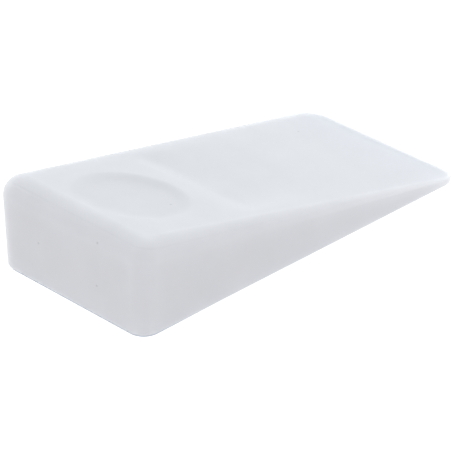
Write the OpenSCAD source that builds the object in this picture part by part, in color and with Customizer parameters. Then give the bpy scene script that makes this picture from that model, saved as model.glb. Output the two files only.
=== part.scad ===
// Trim removal wedge: one moulded piece with a thick end, a thin tip, a thumb dimple and a sunken finger panel.
// Millimetres, +Z up. The thick end faces -X, the tip faces +X, and the flat bottom lies at z = 0.

/* [Body] */
// Length from the thick end to the tip
body_len = 130; // [100:1:180]
// Width across the sides
body_w = 60; // [50:1:90]
// Height of the thick end
body_h = 28.5; // [22:0.5:40]
// Thickness of the tip, whose edge is a full round
tip_t = 1.2; // [0.8:0.1:3]
// Rounding of the thick end's top edge and upright corners
end_r = 6; // [3:0.5:9]
// Rounding of the tip's two corners, seen from above
tip_corner_r = 6.5; // [3:0.5:15]
// Rounding of the bottom edge at the thick end
base_r = 1.2; // [0.4:0.1:2]
// Lean of the walls in degrees, so that the piece leaves its mould
draft = 1.5; // [0:0.1:3]

/* [Thumb dimple] */
// Diameter of the dimple's rim
dimple_d = 33; // [20:0.5:36]
// Depth of the dimple's middle below the sloping top
dimple_depth = 0.7; // [0.5:0.1:3]
// Tilt of the dimple in degrees, which makes it deeper towards the tip
dimple_tilt = 1; // [0:0.5:2.5]
// Start of the flat top to the dimple's middle, along the slope
dimple_x = 17; // [12:0.25:26]

/* [Finger panel] */
// Width of the ridge between the dimple's rim and the panel's curved rim, on the middle line
ridge_w = 2; // [0.5:0.5:10]
// How far the curved rim stands out in its middle, past its two ends
rim_bow = 4; // [0:0.5:14]
// Width of the panel between its side rims
panel_w = 48; // [34:0.5:49]
// Length from the panel's curved rim to where its floor runs out, on the middle line
panel_len = 48; // [28:1:56]
// Depth of the panel at its curved rim, from which its floor rises to the run-out
panel_depth = 2; // [0.8:0.1:4]
// Length of the soft slope from the curved rim down to the floor
wall_w = 13; // [6:0.5:18]

/* [Hidden] */

// Facets of the large and small roundings, and the step of the tip's corner in degrees
round_fn = 64;
nose_fn = 16;
corner_step = 15;

// The top is the plane that touches the thick end's rounding and the tip's rounding
nose_r = tip_t / 2;
end_x = -body_len / 2 + end_r;
end_z = body_h - end_r;
nose_x = body_len / 2 - nose_r;
centre_run = nose_x - end_x;
centre_drop = end_z - nose_r;
top_slope = atan2(centre_drop, centre_run) + asin((end_r - nose_r) / norm([centre_run, centre_drop]));

// The corners' foot is smaller than their head by the lean of the walls
foot_r = end_r - end_z * tan(draft);

// The dimple's dish is flat in the middle and turns up to its rim; its cutter goes on past the rim
dish_power = 8;
dish_reach = 1.2;
dish_steps = 24;

// The panel starts past the ridge, and its floor runs out at its end
panel_x = dimple_x + dimple_d / 2 + ridge_w;
panel_end = panel_x + panel_len;

// The panel's cutter stands this much proud at its border, so that it crosses the top at an angle
panel_lift = panel_depth / 12;
cutter_top = 3;

// Above 1, the slope rolls off slowly at the rim and turns faster at its foot
wall_bias = 1.3;
wall_steps = 9;
floor_steps = 6;
past_end = 4;

// Across its width the panel is a trough, flat in the middle and turning up to its sides
trough_power = 3;
trough_steps = 28;

// Ball with its poles at exactly r
module ball(r, facets) {
    half_steps = facets / 2;
    rotate_extrude($fn = facets)
        polygon([for (i = [0 : half_steps]) r * [sin(i * 180 / half_steps), -cos(i * 180 / half_steps)]]);
}

// Upright corner of the thick end: a ball above a rounded foot
module end_corner() {
    translate([0, 0, end_z])
        ball(end_r, round_fn);
    rotate_extrude($fn = round_fn)
        translate([foot_r - base_r, base_r])
            circle(base_r, $fn = nose_fn);
}

// Corner of the tip: small balls along the bottom edge and the top edge of a quarter turn
module tip_corner() {
    arc_r = tip_corner_r - nose_r;
    arc_x = body_len / 2 - tip_corner_r;
    for (a = [0 : corner_step : 90]) {
        x = arc_x + arc_r * cos(a);
        y = body_w / 2 - tip_corner_r + arc_r * sin(a);
        for (rise = [0, (nose_x - x) * tan(top_slope)])
            translate([x, y, nose_r + rise])
                ball(nose_r, nose_fn);
    }
}

// Wedge with its roundings, which taper from the thick end to the tip
module blank() {
    hull()
        for (side = [0, 1])
            mirror([0, side, 0]) {
                translate([end_x, body_w / 2 - end_r, 0])
                    end_corner();
                tip_corner();
            }
}

// Places its children on the sloping top: x runs down the slope from the start of the flat, z points out
module on_top() {
    translate([end_x, 0, end_z])
        rotate([0, top_slope, 0])
            translate([0, 0, end_r])
                children();
}

// Cutter of the dimple, turned from its half section
module dimple() {
    shares = [for (i = [0 : dish_steps]) dish_reach * i / dish_steps];
    dish = [for (k = shares) [dimple_d / 2 * k, dimple_depth * (pow(k, dish_power) - 1)]];
    dish_top = dish[dish_steps][1];
    translate([dimple_x, 0, 0])
        rotate([0, dimple_tilt, 0])
            rotate_extrude($fn = round_fn)
                polygon(concat([[0, dish_top]], dish));
}

// Point of the cutter's underside, by its distance from the curved rim and from the middle line
function panel_point(from_rim, v) =
    let (
        side = abs(2 * v / panel_w),
        u = panel_x - rim_bow * pow(side, 2) + from_rim,
        entry = min(1, from_rim / wall_w),
        slope_share = (1 - cos(180 * pow(entry, wall_bias))) / 2,
        trough_share = 1 - pow(side, trough_power),
        floor_depth = panel_depth * max(0, panel_end - u) / panel_len
    )
    [u, v, panel_lift - floor_depth * slope_share * trough_share];

// Cutter of the panel: rows follow the curved rim, columns run down the slope
module panel() {
    wall_rows = [for (i = [0 : wall_steps]) wall_w * i / wall_steps];
    floor_rows = [for (i = [1 : floor_steps]) wall_w + (panel_len + past_end - wall_w) * i / floor_steps];
    rows = concat(wall_rows, floor_rows);
    cols = [for (i = [0 : trough_steps]) panel_w * (1 / 2 - i / trough_steps)];
    n_rows = len(rows);
    n_cols = len(cols);
    under = [for (r = rows) for (v = cols) panel_point(r, v)];
    above = [for (p = under) [p[0], p[1], cutter_top]];
    n = n_rows * n_cols;
    quads = [for (i = [0 : n_rows - 2]) for (j = [0 : n_cols - 2])
        [i * n_cols + j, i * n_cols + j + 1, (i + 1) * n_cols + j + 1, (i + 1) * n_cols + j]];
    under_faces = [for (q = quads) each [[q[0], q[1], q[2]], [q[0], q[2], q[3]]]];
    above_faces = [for (f = under_faces) [f[2] + n, f[1] + n, f[0] + n]];
    border = concat(
        [for (j = [0 : n_cols - 2]) j],
        [for (i = [0 : n_rows - 2]) i * n_cols + n_cols - 1],
        [for (j = [n_cols - 1 : -1 : 1]) (n_rows - 1) * n_cols + j],
        [for (i = [n_rows - 1 : -1 : 1]) i * n_cols]
    );
    skirt = [for (k = [0 : len(border) - 1])
        let (a = border[k], b = border[(k + 1) % len(border)])
        each [[b, a, a + n], [b, a + n, b + n]]];
    polyhedron(concat(under, above), concat(under_faces, above_faces, skirt));
}

module wedge() {
    color("whitesmoke")
        difference() {
            blank();
            on_top() dimple();
            on_top() panel();
        }
}

wedge();
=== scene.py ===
"""Trim removal wedge: a smooth moulded body of milky plastic, on a pale floor in soft studio light."""

import math
from collections import namedtuple

import bmesh
import bpy
import numpy as np
from mathutils import Matrix, Vector


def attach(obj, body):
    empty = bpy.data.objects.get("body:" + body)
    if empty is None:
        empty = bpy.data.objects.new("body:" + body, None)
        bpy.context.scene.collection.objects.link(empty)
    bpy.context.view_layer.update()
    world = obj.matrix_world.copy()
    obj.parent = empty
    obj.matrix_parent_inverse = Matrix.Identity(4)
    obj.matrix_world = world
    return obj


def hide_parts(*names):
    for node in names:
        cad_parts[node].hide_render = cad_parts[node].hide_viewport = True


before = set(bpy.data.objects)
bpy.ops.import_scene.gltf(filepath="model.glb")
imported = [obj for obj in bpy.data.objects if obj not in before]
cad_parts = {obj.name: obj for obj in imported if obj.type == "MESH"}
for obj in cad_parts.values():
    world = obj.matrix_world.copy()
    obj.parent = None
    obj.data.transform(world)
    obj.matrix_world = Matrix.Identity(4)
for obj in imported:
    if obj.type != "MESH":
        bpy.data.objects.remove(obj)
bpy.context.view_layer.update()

# Sizes of the body in millimetres, the same as the solid's
MM = 0.001
BODY_LEN = 130.0
BODY_W = 60.0
BODY_H = 28.5
TIP_T = 1.2
END_R = 6.0
TIP_CORNER_R = 6.5
BASE_R = 1.2
DRAFT = math.radians(1.5)

# Thumb dimple, in the top's own axes: u runs down the slope, v runs across, w points out
DIMPLE_D = 33.0
DIMPLE_DEPTH = 0.7
DIMPLE_TILT = math.radians(1.0)
DIMPLE_U = 17.0
DISH_POWER = 8.0
LIP_SOFT = 0.2

# Finger panel: it is raised by a share of its depth, so that its border crosses the top at an angle
RIDGE_W = 2.0
RIM_BOW = 4.0
PANEL_W = 48.0
PANEL_LEN = 48.0
PANEL_DEPTH = 2.0
WALL_W = 13.0
WALL_BIAS = 1.3
TROUGH_POWER = 3.0
LIFT_SHARE = 1 / 12
RIM_SOFT = 0.1

# The dimple's finish: softness of its border, and how far below the top plane it reaches
FINISH_SOFT = 0.3
FINISH_REACH = 3.0

# Parting line of the mould: a groove in the top rounding, by angle from the top and by share of its radius
LINE_ANGLE = math.radians(50.0)
LINE_HALF = math.radians(2.5)
LINE_DEPTH = 0.012

# Mesh steps: along the dimple, the panel and the tip, across the top, round the corners, and down the sides
DIMPLE_END = 37.0
DIMPLE_CELLS = 110
PAST_PANEL = 2.0
PANEL_CELLS = 100
TIP_CELLS = 44
ACROSS_CELLS = 150
TIP_CORNER_CELLS = 12
END_CORNER_CELLS = 16
UPPER_ROWS = 14
LOWER_ROWS = 12
WALL_ROWS = 10
BASE_ROWS = 6

# Angles and heights below the first count as none, and points closer than the second are merged
TINY = 1e-6
MERGE_DIST = 0.0001

# The top plane touches the thick end's rounding and the tip's rounding
NOSE_R = TIP_T / 2
END_X = -BODY_LEN / 2 + END_R
END_Z = BODY_H - END_R
NOSE_X = BODY_LEN / 2 - NOSE_R
CENTRE_RUN = NOSE_X - END_X
CENTRE_DROP = END_Z - NOSE_R
CENTRE_GAP = math.hypot(CENTRE_RUN, CENTRE_DROP)
SLOPE = math.atan2(CENTRE_DROP, CENTRE_RUN) + math.asin((END_R - NOSE_R) / CENTRE_GAP)
DOWN_SLOPE = np.array([math.cos(SLOPE), 0.0, -math.sin(SLOPE)])
TOP_NORMAL = np.array([math.sin(SLOPE), 0.0, math.cos(SLOPE)])
TOP_START = np.array([END_X, 0.0, END_Z]) + END_R * TOP_NORMAL

# Other places and directions that follow from the sizes
UP = np.array([0.0, 0.0, 1.0])
QUARTER = math.pi / 2
END_CORNER_Y = BODY_W / 2 - END_R
TIP_ARC_X = BODY_LEN / 2 - TIP_CORNER_R
TIP_ARC_Y = BODY_W / 2 - TIP_CORNER_R
TIP_ARC_R = TIP_CORNER_R - NOSE_R
FOOT_LEAN = END_Z * math.tan(DRAFT)
DIMPLE_R = DIMPLE_D / 2
PANEL_U = DIMPLE_U + DIMPLE_R + RIDGE_W
PANEL_END = PANEL_U + PANEL_LEN
PANEL_LIFT = PANEL_DEPTH * LIFT_SHARE

# A ball that rounds the top's border: its centre, its radius and the angle from +X at which it looks out
Station = namedtuple("Station", ["x", "y", "z", "r", "angle"])

# A point of the top's border: its number in the mesh, and the centre, radius and angle of its ball
Spot = namedtuple("Spot", ["index", "centre", "r", "angle"])


def centre_z(x):
    """Height of the small balls' centres along the tip's top edge."""
    return NOSE_R + (NOSE_X - x) * math.tan(SLOPE)


def along_slope(x, z):
    """How far down the slope a ball's centre at (x, z) lies."""
    return (x - END_X) * math.cos(SLOPE) + (END_Z - z) * math.sin(SLOPE)


def soft_positive(t, soft):
    """t where it is positive and 0 where it is negative, with a soft turn."""
    return soft * np.logaddexp(0.0, t / soft)


def dish_depth(u, v):
    """Depth of the dimple's dish below the top plane, negative past its rim."""
    from_middle = np.hypot(u - DIMPLE_U, v) / DIMPLE_R
    return DIMPLE_DEPTH * (1 - from_middle**DISH_POWER) + math.tan(DIMPLE_TILT) * (u - DIMPLE_U)


def panel_share(u, v):
    """Share of the panel's depth: 0 at its rims, 1 on the middle of its floor."""
    side = np.minimum(1.0, np.abs(2 * v / PANEL_W))
    entry = np.clip((u - PANEL_U + RIM_BOW * side**2) / WALL_W, 0.0, 1.0)
    return (1 - np.cos(np.pi * entry**WALL_BIAS)) / 2 * (1 - side**TROUGH_POWER)


def top_offset(u, v):
    """How far the top lies out of its plane at (u, v): the dish of the dimple and the sunken panel."""
    panel = PANEL_DEPTH * np.maximum(0.0, PANEL_END - u) / PANEL_LEN * panel_share(u, v) - PANEL_LIFT
    return -soft_positive(dish_depth(u, v), LIP_SOFT) - soft_positive(panel, RIM_SOFT)


def stations():
    """Balls along the far long side, from the thick end to the tip, and round the tip's corner."""
    side_end_z = centre_z(TIP_ARC_X)
    side_u = along_slope(TIP_ARC_X, side_end_z)
    dimple = np.linspace(0.0, DIMPLE_END, DIMPLE_CELLS + 1)
    panel = np.linspace(DIMPLE_END, PANEL_END + PAST_PANEL, PANEL_CELLS + 1)[1:]
    tip = np.linspace(panel[-1], side_u, TIP_CELLS + 1)[1:]
    line = []
    for u in np.concatenate([dimple, panel, tip]):
        share = u / side_u
        r = END_R + (NOSE_R - END_R) * share
        x = END_X + (TIP_ARC_X - END_X) * share
        z = END_Z + (side_end_z - END_Z) * share
        line.append(Station(x, BODY_W / 2 - r, z, r, QUARTER))
    for k in range(1, TIP_CORNER_CELLS + 1):
        angle = QUARTER * (1 - k / TIP_CORNER_CELLS)
        x = TIP_ARC_X + TIP_ARC_R * math.cos(angle)
        y = TIP_ARC_Y + TIP_ARC_R * math.sin(angle)
        line.append(Station(x, y, centre_z(x), NOSE_R, angle))
    return line


def angle_between(a, b):
    """Angle between two unit vectors."""
    return math.acos(max(-1.0, min(1.0, float(a @ b))))


def turn(a, b, t):
    """Unit vector a share t of the way from a to b along their great circle."""
    angle = angle_between(a, b)
    if angle < TINY:
        return a
    return (math.sin((1 - t) * angle) * a + math.sin(t * angle) * b) / math.sin(angle)


def side_rows(centre, r, out_angle, lean, base_r):
    """Points below the top's border: the top rounding, the leaning wall and the bottom rounding."""
    out = np.array([math.cos(out_angle), math.sin(out_angle), 0.0])
    wall_h = centre[2] - base_r
    tilt = math.atan2(lean, wall_h) if wall_h > TINY else 0.0
    wall_normal = math.cos(tilt) * out - math.sin(tilt) * UP
    foot = centre + (r - lean - base_r) * out
    foot[2] = base_r
    whole = angle_between(TOP_NORMAL, wall_normal)
    line = LINE_ANGLE / whole
    half = LINE_HALF / whole
    upper = np.linspace(0.0, line - half, UPPER_ROWS + 1)[1:]
    lower = np.linspace(line + half, 1.0, LOWER_ROWS + 1)
    rows = [centre + r * turn(TOP_NORMAL, wall_normal, t) for t in upper]
    rows.append(centre + r * (1 - LINE_DEPTH) * turn(TOP_NORMAL, wall_normal, line))
    rows += [centre + r * turn(TOP_NORMAL, wall_normal, t) for t in lower]
    high = rows[-1]
    low = foot + base_r * wall_normal
    rows += [high + (low - high) * k / WALL_ROWS for k in range(1, WALL_ROWS + 1)]
    rows += [foot + base_r * turn(wall_normal, -UP, k / BASE_ROWS) for k in range(1, BASE_ROWS + 1)]
    return rows


def top_grid(line):
    """Points over the top as a grid: one row for each station, from the near side to the far side."""
    across = ACROSS_CELLS + 1
    u = np.array([[along_slope(s.x, s.z)] * across for s in line])
    v = np.array([np.linspace(-s.y, s.y, across) for s in line])
    w = top_offset(u, v)
    w[[0, -1], :] = 0.0
    w[:, [0, -1]] = 0.0
    grid = TOP_START + u[..., None] * DOWN_SLOPE + w[..., None] * TOP_NORMAL
    grid[..., 1] += v
    return grid


def border_parts(line, grid):
    """The top's border once round, as spots in four parts: near side, tip, far side and thick end."""
    n, m = grid.shape[:2]
    last = line[-1]
    near = [Spot(i * m, (s.x, -s.y, s.z), s.r, -s.angle) for i, s in enumerate(line)]
    tip = [
        Spot((n - 1) * m + j, (last.x, grid[-1, j, 1], last.z), last.r, last.angle)
        for j in range(1, m - 1)
    ]
    far = [Spot(i * m + m - 1, (s.x, s.y, s.z), s.r, s.angle) for i, s in enumerate(line)]
    turns = [QUARTER * k / END_CORNER_CELLS for k in range(END_CORNER_CELLS + 1)]
    far_corner = [Spot(m - 1, (END_X, END_CORNER_Y, END_Z), END_R, QUARTER + q) for q in turns[1:]]
    end_edge = [Spot(j, (END_X, grid[0, j, 1], END_Z), END_R, math.pi) for j in range(m - 2, 0, -1)]
    near_corner = [Spot(0, (END_X, -END_CORNER_Y, END_Z), END_R, math.pi + q) for q in turns[:-1]]
    return near, tip, far[::-1], far_corner + end_edge + near_corner


def add_side(points, spot):
    """Adds the points below a spot of the border, and returns the numbers of its row from the top down."""
    share = max(0.0, (TIP_ARC_X - spot.centre[0]) / (TIP_ARC_X - END_X))
    base_r = NOSE_R + (BASE_R - NOSE_R) * share
    first = len(points)
    points += side_rows(np.array(spot.centre), spot.r, spot.angle, FOOT_LEAN * share, base_r)
    return [spot.index, *range(first, len(points))]


def top_faces(n, m):
    """Faces of the top's grid, which has n rows of m points."""
    return [
        (i * m + j, (i + 1) * m + j, (i + 1) * m + j + 1, i * m + j + 1)
        for i in range(n - 1)
        for j in range(m - 1)
    ]


def side_faces(rows):
    """Faces between each row and the next, once round, with a triangle where both start at one point."""
    faces = []
    for a, b in zip(rows, rows[1:] + rows[:1]):
        for q in range(len(a) - 1):
            quad = (b[q], a[q], a[q + 1], b[q + 1])
            faces.append(quad if a[q] != b[q] else quad[1:])
    return faces


def bottom_faces(near, tip, far, end):
    """The flat bottom: one strip between the two long sides at each station, and one face at each end."""
    strips = [(near[i], far[i], far[i + 1], near[i + 1]) for i in range(len(near) - 1)]
    tip_face = [near[-1], far[-1]] + tip[::-1]
    end_face = [far[0], near[0]] + end[::-1]
    return strips + [tip_face, end_face]


def body_mesh():
    """The whole moulding as one closed mesh: a grid over the top, rows down the sides and a flat bottom."""
    line = stations()
    grid = top_grid(line)
    points = list(grid.reshape(-1, 3))
    parts = [[add_side(points, spot) for spot in part] for part in border_parts(line, grid)]
    near, tip, far, end = [[row[-1] for row in part] for part in parts]
    faces = top_faces(*grid.shape[:2])
    faces += side_faces([row for part in parts for row in part])
    faces += bottom_faces(near, tip, far[::-1], end)

    mesh = bpy.data.meshes.new("wedge_body")
    mesh.from_pydata([tuple(MM * c for c in p) for p in points], [], faces)
    bm = bmesh.new()
    bm.from_mesh(mesh)
    bmesh.ops.remove_doubles(bm, verts=bm.verts, dist=MERGE_DIST * MM)
    bmesh.ops.recalc_face_normals(bm, faces=bm.faces)
    bm.to_mesh(mesh)
    bm.free()
    mesh.shade_smooth()
    add_finish(mesh)
    return mesh


def add_finish(mesh):
    """Marks the points that lie in the dimple, as an attribute of the mesh."""
    place = np.empty(3 * len(mesh.vertices), dtype=np.float32)
    mesh.vertices.foreach_get("co", place)
    from_start = place.reshape(-1, 3) / MM - TOP_START
    depth = dish_depth(from_start @ DOWN_SLOPE, from_start[:, 1])
    on_top = from_start @ TOP_NORMAL > -FINISH_REACH
    inside = on_top * (1 + np.tanh(depth / FINISH_SOFT / 2)) / 2
    mesh.attributes.new("dimple", "FLOAT", "POINT").data.foreach_set("value", inside.astype(np.float32))


# Milky plastic: its colour, and how far light goes in, which is the same for red, green and blue
MILK = (0.57, 0.573, 0.6)
IOR = 1.5
SCATTER = 9.0
SCATTER_TINT = (1.0, 1.0, 1.0)

# Its skin is satin and the dimple's floor is more matte; the noises' scales are per metre
SKIN_ROUGHNESS = 0.31
DIMPLE_ROUGHNESS = 0.55
CLOUD_SCALE = 90.0
CLOUD_DETAIL = 3.0
CLOUD_SHARE = 0.03
GRAIN_SCALE = 900.0
GRAIN_ROUGHNESS = 0.03
PEEL_SCALE = 260.0
PEEL_HEIGHT = 0.004
FINE_DETAIL = 2.0
NOISE_LOW = 0.3
NOISE_HIGH = 0.7

# Dark specks in the plastic: on the end face by (y, z) and on the top by (x, y), with their radii and shade
END_SPECKS = ((12.1, 14.1), (-12.2, 24.2), (-11.4, 10.3))
TOP_SPECKS = ((-33.3, -8.4), (45.2, 17.6))
SPECK_R = 0.45
SPECK_CORE_R = SPECK_R / 2
SPECK_SHADE = 0.8


def end_point(y, z):
    """Point of the thick end's face or rounding at (y, z)."""
    if z > END_Z:
        return END_X - math.sqrt(END_R**2 - (z - END_Z) ** 2), y, z
    return END_X - END_R + (END_Z - z) * math.tan(DRAFT), y, z


def top_point(x, y):
    """Point of the top at (x, y), with x taken along the top's plane."""
    u = (x - TOP_START[0]) / DOWN_SLOPE[0]
    point = TOP_START + u * DOWN_SLOPE + top_offset(u, y) * TOP_NORMAL
    return point[0], y, point[2]


class Shade:
    """Short ways to add nodes to a material."""

    def __init__(self, material):
        self.nodes = material.node_tree.nodes
        self.links = material.node_tree.links

    def math(self, operation, first, second):
        node = self.nodes.new("ShaderNodeMath")
        node.operation = operation
        self.links.new(first, node.inputs[0])
        self.links.new(second, node.inputs[1])
        return node.outputs["Value"]

    def ramp(self, value, low, high, to_low, to_high):
        node = self.nodes.new("ShaderNodeMapRange")
        self.links.new(value, node.inputs["Value"])
        node.inputs["From Min"].default_value = low
        node.inputs["From Max"].default_value = high
        node.inputs["To Min"].default_value = to_low
        node.inputs["To Max"].default_value = to_high
        return node.outputs["Result"]

    def mask(self, name):
        node = self.nodes.new("ShaderNodeAttribute")
        node.attribute_name = name
        return node.outputs["Fac"]

    def noise(self, place, scale, detail):
        node = self.nodes.new("ShaderNodeTexNoise")
        self.links.new(place, node.inputs["Vector"])
        node.inputs["Scale"].default_value = scale
        node.inputs["Detail"].default_value = detail
        return node.outputs["Fac"]

    def distance(self, place, point):
        node = self.nodes.new("ShaderNodeVectorMath")
        node.operation = "DISTANCE"
        self.links.new(place, node.inputs[0])
        node.inputs[1].default_value = point
        return node.outputs["Value"]


def milky_plastic():
    """Plastic that lets light some way in, under a satin skin."""
    material = bpy.data.materials.new("milky_plastic")
    material.use_nodes = True
    shade = Shade(material)
    place = shade.nodes.new("ShaderNodeTexCoord").outputs["Object"]
    dimple = shade.mask("dimple")

    # Tone: faint clouds and the specks
    clouds = shade.noise(place, CLOUD_SCALE, CLOUD_DETAIL)
    tone = shade.ramp(clouds, NOISE_LOW, NOISE_HIGH, 1 - CLOUD_SHARE / 2, 1 + CLOUD_SHARE / 2)
    specks = [end_point(*p) for p in END_SPECKS] + [top_point(*p) for p in TOP_SPECKS]
    for point in specks:
        away = shade.distance(place, [MM * c for c in point])
        dark = shade.ramp(away, SPECK_CORE_R * MM, SPECK_R * MM, SPECK_SHADE, 1.0)
        tone = shade.math("MULTIPLY", tone, dark)
    colour = shade.nodes.new("ShaderNodeVectorMath")
    colour.operation = "SCALE"
    colour.inputs[0].default_value = MILK
    shade.links.new(tone, colour.inputs["Scale"])

    # Skin: satin with a fine grain, more matte in the dimple, and a faint orange peel
    grain = shade.noise(place, GRAIN_SCALE, FINE_DETAIL)
    uneven = shade.ramp(grain, NOISE_LOW, NOISE_HIGH, -GRAIN_ROUGHNESS, GRAIN_ROUGHNESS)
    skin = shade.math("ADD", uneven, shade.ramp(dimple, 0.0, 1.0, SKIN_ROUGHNESS, DIMPLE_ROUGHNESS))
    bump = shade.nodes.new("ShaderNodeBump")
    bump.inputs["Distance"].default_value = PEEL_HEIGHT * MM
    shade.links.new(shade.noise(place, PEEL_SCALE, FINE_DETAIL), bump.inputs["Height"])

    shader = shade.nodes["Principled BSDF"]
    shade.links.new(colour.outputs["Vector"], shader.inputs["Base Color"])
    shade.links.new(skin, shader.inputs["Roughness"])
    shade.links.new(bump.outputs["Normal"], shader.inputs["Normal"])
    shader.inputs["IOR"].default_value = IOR
    shader.inputs["Subsurface Weight"].default_value = 1.0
    shader.inputs["Subsurface Radius"].default_value = SCATTER_TINT
    shader.inputs["Subsurface Scale"].default_value = SCATTER * MM
    return material


body = bpy.data.objects.new("wedge_body", body_mesh())
bpy.context.scene.collection.objects.link(body)
body.data.materials.append(milky_plastic())
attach(body, "root")
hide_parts("wedge")

# Camera, from the photograph's outline: image and focal length in pixels, scale in pixels per millimetre
IMAGE_PX = 452
FOCAL_PX = 2966.955
SCALE_PX = 3.474
AZIMUTH = math.radians(-45.0)
ELEVATION = math.radians(30.0)
AIM = Vector((0.0, 0.0, 15.0))
SIDE_STEP = 2.379
RISE_STEP = 14.631
SENSOR = 36.0

level_share = math.cos(ELEVATION)
back = Vector((math.sin(AZIMUTH) * level_share, -math.cos(AZIMUTH) * level_share, math.sin(ELEVATION)))
right = Vector((math.cos(AZIMUTH), math.sin(AZIMUTH), 0.0))
rise = back.cross(right)
camera_data = bpy.data.cameras.new("camera")
camera_data.sensor_width = SENSOR
camera_data.lens = FOCAL_PX * SENSOR / IMAGE_PX
camera = bpy.data.objects.new("camera", camera_data)
camera_place = AIM + back * (FOCAL_PX / SCALE_PX) - right * SIDE_STEP - rise * RISE_STEP
camera_turn = Matrix((right, rise, back)).transposed().to_4x4()
camera.matrix_world = Matrix.Translation(camera_place * MM) @ camera_turn
bpy.context.scene.collection.objects.link(camera)
bpy.context.scene.camera = camera

# Floor that glows white, with a dimmer sheet under the body where less light gets in; this sheet is a
# painted shadow, its border draws a thin painted contact shadow along the bottom edges, and its bluish glow
# is painted light that tints the thin tip blue
FLOOR_HALF = 3000.0
FLOOR_Z = -0.1
FLOOR_GLOW = 1.175
FLOOR_TINT = (1.0, 1.0, 1.0, 1.0)
# Inset, corner, height, glow and bluish tint of the sheet of painted shadow under the body
SHADOW_SHEET_GAP = 1.2
SHADOW_SHEET_CORNER_R = 5.0
SHADOW_SHEET_CORNER_STEPS = 8
SHADOW_SHEET_Z = -0.05
SHADOW_SHEET_GLOW = 0.26
SHADOW_SHEET_TINT = (0.68, 0.95, 1.4, 1.0)
BLACK = (0.0, 0.0, 0.0, 1.0)
CORNERS = ((1, 1), (-1, 1), (-1, -1), (1, -1))


def rounded_outline(half_x, half_y, r):
    """Points of a rectangle with round corners, counter-clockwise seen from above."""
    points = []
    for k, (x, y) in enumerate(CORNERS):
        for i in range(SHADOW_SHEET_CORNER_STEPS + 1):
            angle = QUARTER * (k + i / SHADOW_SHEET_CORNER_STEPS)
            points.append((x * (half_x - r) + r * math.cos(angle), y * (half_y - r) + r * math.sin(angle)))
    return points


def level_sheet(name, outline, z, glow, tint):
    """Flat sheet that gives off light and reflects none."""
    mesh = bpy.data.meshes.new(name)
    mesh.from_pydata([(MM * x, MM * y, MM * z) for x, y in outline], [], [range(len(outline))])
    paint = bpy.data.materials.new(name)
    paint.use_nodes = True
    shader = paint.node_tree.nodes["Principled BSDF"]
    shader.inputs["Base Color"].default_value = BLACK
    shader.inputs["Specular IOR Level"].default_value = 0.0
    shader.inputs["Emission Color"].default_value = tint
    shader.inputs["Emission Strength"].default_value = glow
    mesh.materials.append(paint)
    sheet = bpy.data.objects.new(name, mesh)
    bpy.context.scene.collection.objects.link(sheet)


floor_outline = [(FLOOR_HALF * x, FLOOR_HALF * y) for x, y in CORNERS]
shadow_sheet_outline = rounded_outline(BODY_LEN / 2 - SHADOW_SHEET_GAP, BODY_W / 2 - SHADOW_SHEET_GAP, SHADOW_SHEET_CORNER_R)
level_sheet("floor", floor_outline, FLOOR_Z, FLOOR_GLOW, FLOOR_TINT)
# Painted shadow under the body, whose bluish glow is painted light on the thin tip
level_sheet("underside", shadow_sheet_outline, SHADOW_SHEET_Z, SHADOW_SHEET_GLOW, SHADOW_SHEET_TINT)

# Soft tent: the glow of its near half, behind the camera, and of its far half, and the reach of their blend
NEAR_GLOW = 0.9
NEAR_TINT = (1.0, 1.0, 1.0)
FAR_GLOW = 1.44
FAR_TINT = (0.968, 1.003, 1.018)
BLEND_REACH = 0.8


def tent():
    """World whose glow changes along the camera's level direction in the photograph."""
    world = bpy.data.worlds.new("tent")
    world.use_nodes = True
    nodes = world.node_tree.nodes
    links = world.node_tree.links
    direction = nodes.new("ShaderNodeTexCoord")
    along = nodes.new("ShaderNodeVectorMath")
    along.operation = "DOT_PRODUCT"
    along.inputs[1].default_value = (-back.x, -back.y, 0.0)
    share = nodes.new("ShaderNodeMapRange")
    share.interpolation_type = "SMOOTHSTEP"
    share.inputs["From Min"].default_value = -BLEND_REACH
    share.inputs["From Max"].default_value = BLEND_REACH
    blend = nodes.new("ShaderNodeMix")
    blend.data_type = "RGBA"
    blend.inputs["A"].default_value = [NEAR_GLOW * c for c in NEAR_TINT] + [1.0]
    blend.inputs["B"].default_value = [FAR_GLOW * c for c in FAR_TINT] + [1.0]
    links.new(direction.outputs["Generated"], along.inputs[0])
    links.new(along.outputs["Value"], share.inputs["Value"])
    links.new(share.outputs["Result"], blend.inputs["Factor"])
    links.new(blend.outputs["Result"], nodes["Background"].inputs["Color"])
    nodes["Background"].inputs["Strength"].default_value = 1.0
    return world


bpy.context.scene.world = tent()
bpy.context.scene.view_settings.view_transform = "Standard"
